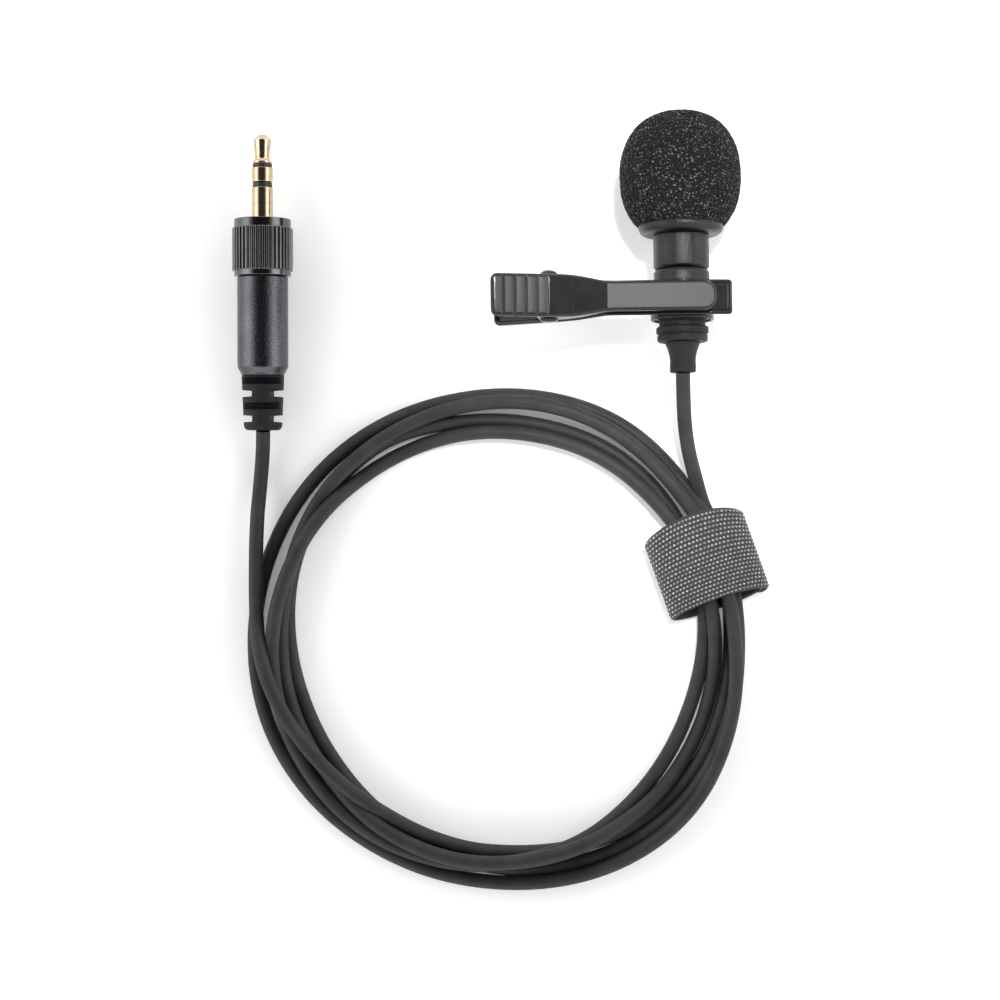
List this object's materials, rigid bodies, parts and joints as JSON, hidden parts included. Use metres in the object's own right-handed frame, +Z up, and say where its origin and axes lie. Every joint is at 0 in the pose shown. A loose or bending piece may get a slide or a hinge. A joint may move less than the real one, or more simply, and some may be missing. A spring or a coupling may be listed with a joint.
{
  "type": "lavalier microphone",
  "caption": "Clip-on lavalier microphone with foam windscreen, sprung clothing clip, coiled cable in a fabric tie, and a locking 3.5 mm plug.",
  "frame": {"origin": "on the surface the microphone lies on, under the middle of the microphone and its clip", "axes": "+Y along the microphone towards its windscreen; +X from the clip's thumb pads towards the microphone; +Z up from the surface"},
  "size_m": [0.0889, 0.1304, 0.0223],
  "materials": {
    "foam": "black open-cell foam",
    "satin_black": "satin black coating on turned metal",
    "moulded_rubber": "matt black moulded rubber",
    "painted_steel": "semi-gloss black paint on pressed steel",
    "spring_steel": "bare spring steel",
    "plug_shell": "matt blue-black anodised shell",
    "gold_plate": "pale gold plate",
    "insulator": "black moulded insulator",
    "cable_jacket": "dark grey matt cable jacket",
    "strap_fabric": "dark grey knitted loop tape",
    "circuit_board": "green laminate",
    "capsule_metal": "drawn aluminium can",
    "crimp_metal": "copper crimp",
    "wire_red": "red wire insulation",
    "wire_clear": "natural wire insulation"
  },
  "bodies": {
    "microphone": {"head_cup": "satin_black", "grille_cap": "satin_black", "electret_capsule": "capsule_metal", "capsule_boot": "moulded_rubber", "capsule_board": "circuit_board", "mic_barrel_upper": "satin_black", "mic_barrel_lower": "satin_black", "mic_end_cap": "moulded_rubber", "mic_strain_relief": "moulded_rubber", "mic_cable_crimp": "crimp_metal", "mic_cable_end": "cable_jacket", "mic_signal_wire": "wire_red", "mic_ground_wire": "wire_clear", "plug_strain_relief": "moulded_rubber", "plug_barrel": "plug_shell", "lock_ring_retainer": "spring_steel", "plug_insert": "insulator", "jack_sleeve": "gold_plate", "jack_ring_insulator": "insulator", "jack_ring": "gold_plate", "jack_tip_insulator": "insulator", "jack_tip": "gold_plate", "plug_cable_crimp": "crimp_metal", "plug_cable_end": "cable_jacket", "plug_tip_wire": "wire_clear", "plug_ring_wire": "wire_clear", "plug_sleeve_wire": "wire_clear", "cord_mic_lead": "cable_jacket", "cord_plug_lead": "cable_jacket", "cord_coil": "cable_jacket", "cord_tie_strap": "strap_fabric", "cord_tie_hook_tab": "strap_fabric"},
    "windscreen": {"windscreen_foam": "foam"},
    "clip": {"clip_rear_arm": "painted_steel", "clip_collar": "painted_steel", "clip_pivot_pin": "painted_steel", "clip_spring": "spring_steel"},
    "clip_front": {"clip_front_arm": "painted_steel"},
    "locking_ring": {"lock_ring": "satin_black"}
  },
  "joints": [
    {"name": "windscreen_pull", "type": "slide", "parent": "microphone", "child": "windscreen", "axis": [0, 1, 0], "range_m": [0, 0.012]},
    {"name": "clip_swivel", "type": "hinge", "parent": "microphone", "child": "clip", "pos_m": [0.01075, -0.0099, 0.01], "axis": [0, 1, 0], "continuous": true},
    {"name": "clip_open", "type": "hinge", "parent": "clip", "child": "clip_front", "pos_m": [-0.01135, -0.0099, 0.01698], "axis": [0, -1, 0], "range_deg": [0, 28], "stiffness_Nm_per_rad": 0.02, "springref_deg": -40.11},
    {"name": "locking_ring_spin", "type": "hinge", "parent": "microphone", "child": "locking_ring", "pos_m": [-0.05881, 0.00009, 0.00521], "axis": [0.012, 0.9987, 0.0499], "continuous": true}
  ]
}
